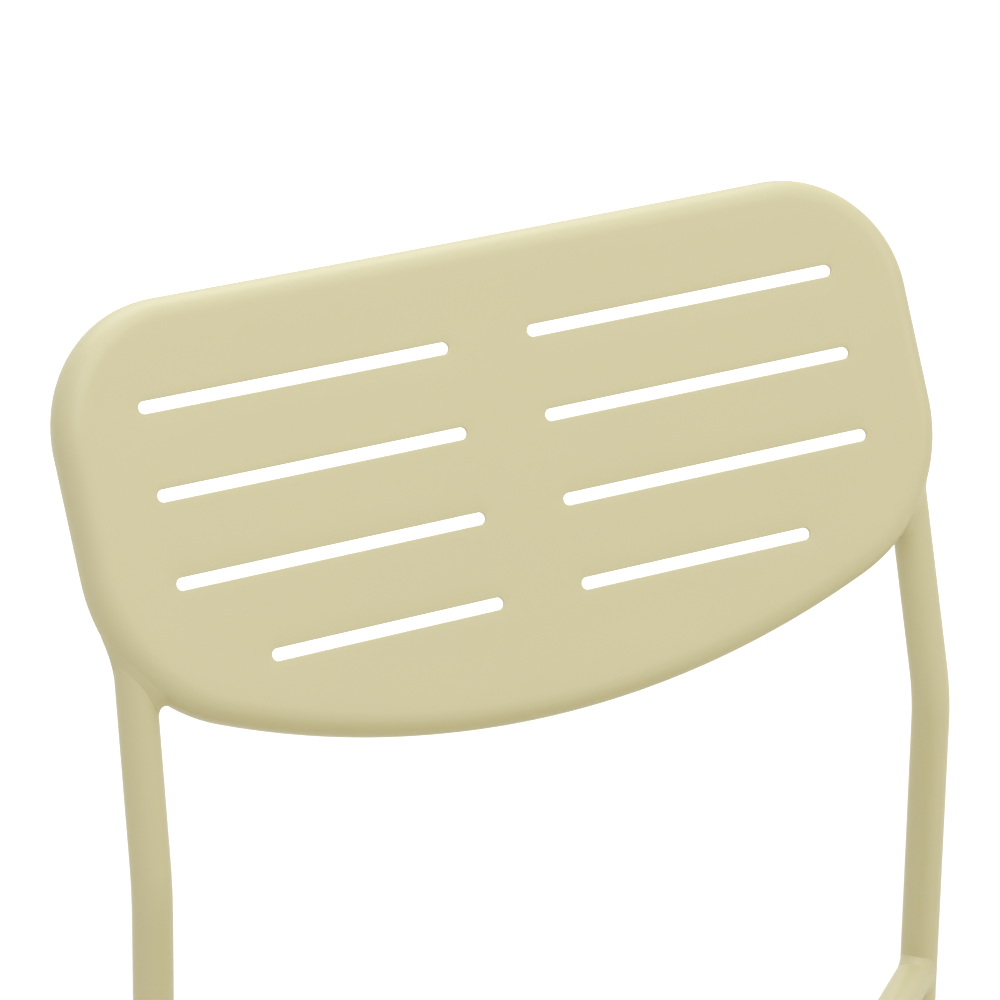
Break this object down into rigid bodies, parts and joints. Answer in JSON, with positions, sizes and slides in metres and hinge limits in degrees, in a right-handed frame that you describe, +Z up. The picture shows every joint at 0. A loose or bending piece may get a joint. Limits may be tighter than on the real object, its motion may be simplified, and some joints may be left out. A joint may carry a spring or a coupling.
{
  "type": "metal stacking chair",
  "caption": "Stacking side chair of bent steel tube with a pressed, slotted sheet seat and backrest, rolled rims, welded joints and plastic feet.",
  "frame": {"origin": "on the floor, in the middle of the chair's bounding box", "axes": "+X to the right as seen from in front of the chair, +Y towards the back, +Z up"},
  "size_m": [0.462, 0.55, 0.8368],
  "materials": {
    "powder_coat": "satin powder coat, pale yellow-beige",
    "plastic": "matt dark grey"
  },
  "bodies": {
    "root": {"backrest_panel": "powder_coat", "seat_pan": "powder_coat", "rear_leg_left": "powder_coat", "rear_leg_right": "powder_coat", "front_leg_left": "powder_coat", "front_leg_right": "powder_coat", "rear_cross_rail": "powder_coat", "front_cross_rail": "powder_coat", "backrest_weld_left": "powder_coat", "backrest_weld_right": "powder_coat", "rail_weld_left": "powder_coat", "rail_weld_right": "powder_coat", "cross_rail_welds": "powder_coat", "seat_welds": "powder_coat", "rear_foot_left": "plastic", "rear_foot_right": "plastic", "front_foot_left": "plastic", "front_foot_right": "plastic", "post_plug_left": "plastic", "post_plug_right": "plastic", "front_bumper_left": "plastic", "front_bumper_right": "plastic", "rear_bumper_left": "plastic", "rear_bumper_right": "plastic"}
  },
  "joints": []
}
